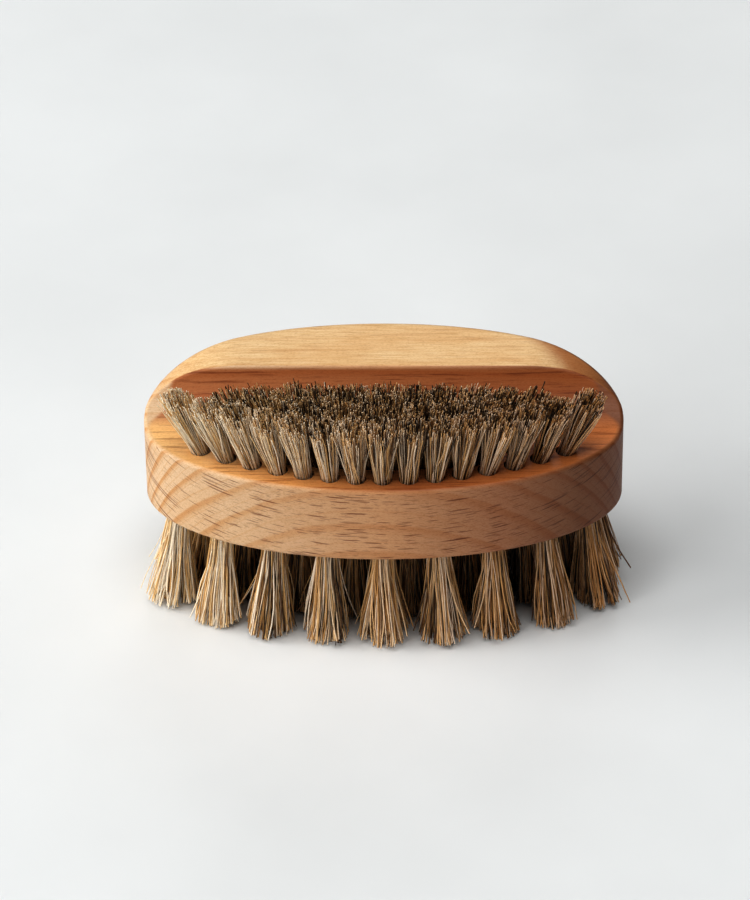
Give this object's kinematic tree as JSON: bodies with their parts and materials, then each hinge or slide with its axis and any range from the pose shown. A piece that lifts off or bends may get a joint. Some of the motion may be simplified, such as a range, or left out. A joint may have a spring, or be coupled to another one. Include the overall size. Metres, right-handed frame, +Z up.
{
  "type": "two-sided beard brush",
  "caption": "Oval wooden beard brush with a raised grip, long horsehair tufts below and short trimmed tufts on its ledge.",
  "frame": {"origin": "centre of the brush's outline, on the plane of the long tufts' tips that it stands on", "axes": "+X along the block's length, +Y from the short tufts' side to the grip's side, +Z up from the long tufts to the short ones"},
  "size_m": [0.1, 0.048, 0.0575],
  "materials": {
    "beech": "oiled satin",
    "long_hair": "matte",
    "short_hair": "matte",
    "flat_wire": "satin"
  },
  "bodies": {
    "root": {"handle_block": "beech", "long_anchors": "flat_wire", "long_centre_tuft_1": "long_hair", "long_centre_tuft_2": "long_hair", "long_centre_tuft_3": "long_hair", "long_centre_tuft_4": "long_hair", "long_centre_tuft_5": "long_hair", "long_centre_tuft_6": "long_hair", "long_centre_tuft_7": "long_hair", "long_inner_tuft_01": "long_hair", "long_inner_tuft_02": "long_hair", "long_inner_tuft_03": "long_hair", "long_inner_tuft_04": "long_hair", "long_inner_tuft_05": "long_hair", "long_inner_tuft_06": "long_hair", "long_inner_tuft_07": "long_hair", "long_inner_tuft_08": "long_hair", "long_inner_tuft_09": "long_hair", "long_inner_tuft_10": "long_hair", "long_inner_tuft_11": "long_hair", "long_inner_tuft_12": "long_hair", "long_ring_tuft_01": "long_hair", "long_ring_tuft_02": "long_hair", "long_ring_tuft_03": "long_hair", "long_ring_tuft_04": "long_hair", "long_ring_tuft_05": "long_hair", "long_ring_tuft_06": "long_hair", "long_ring_tuft_07": "long_hair", "long_ring_tuft_08": "long_hair", "long_ring_tuft_09": "long_hair", "long_ring_tuft_10": "long_hair", "long_ring_tuft_11": "long_hair", "long_ring_tuft_12": "long_hair", "long_ring_tuft_13": "long_hair", "long_ring_tuft_14": "long_hair", "long_ring_tuft_15": "long_hair", "long_ring_tuft_16": "long_hair", "long_ring_tuft_17": "long_hair", "long_ring_tuft_18": "long_hair", "short_anchors": "flat_wire", "short_front_tuft_01": "short_hair", "short_front_tuft_02": "short_hair", "short_front_tuft_03": "short_hair", "short_front_tuft_04": "short_hair", "short_front_tuft_05": "short_hair", "short_front_tuft_06": "short_hair", "short_front_tuft_07": "short_hair", "short_front_tuft_08": "short_hair", "short_front_tuft_09": "short_hair", "short_front_tuft_10": "short_hair", "short_front_tuft_11": "short_hair", "short_front_tuft_12": "short_hair", "short_front_tuft_13": "short_hair", "short_front_tuft_14": "short_hair", "short_front_tuft_15": "short_hair", "short_middle_tufts": "short_hair", "short_rear_tufts": "short_hair"}
  },
  "joints": []
}
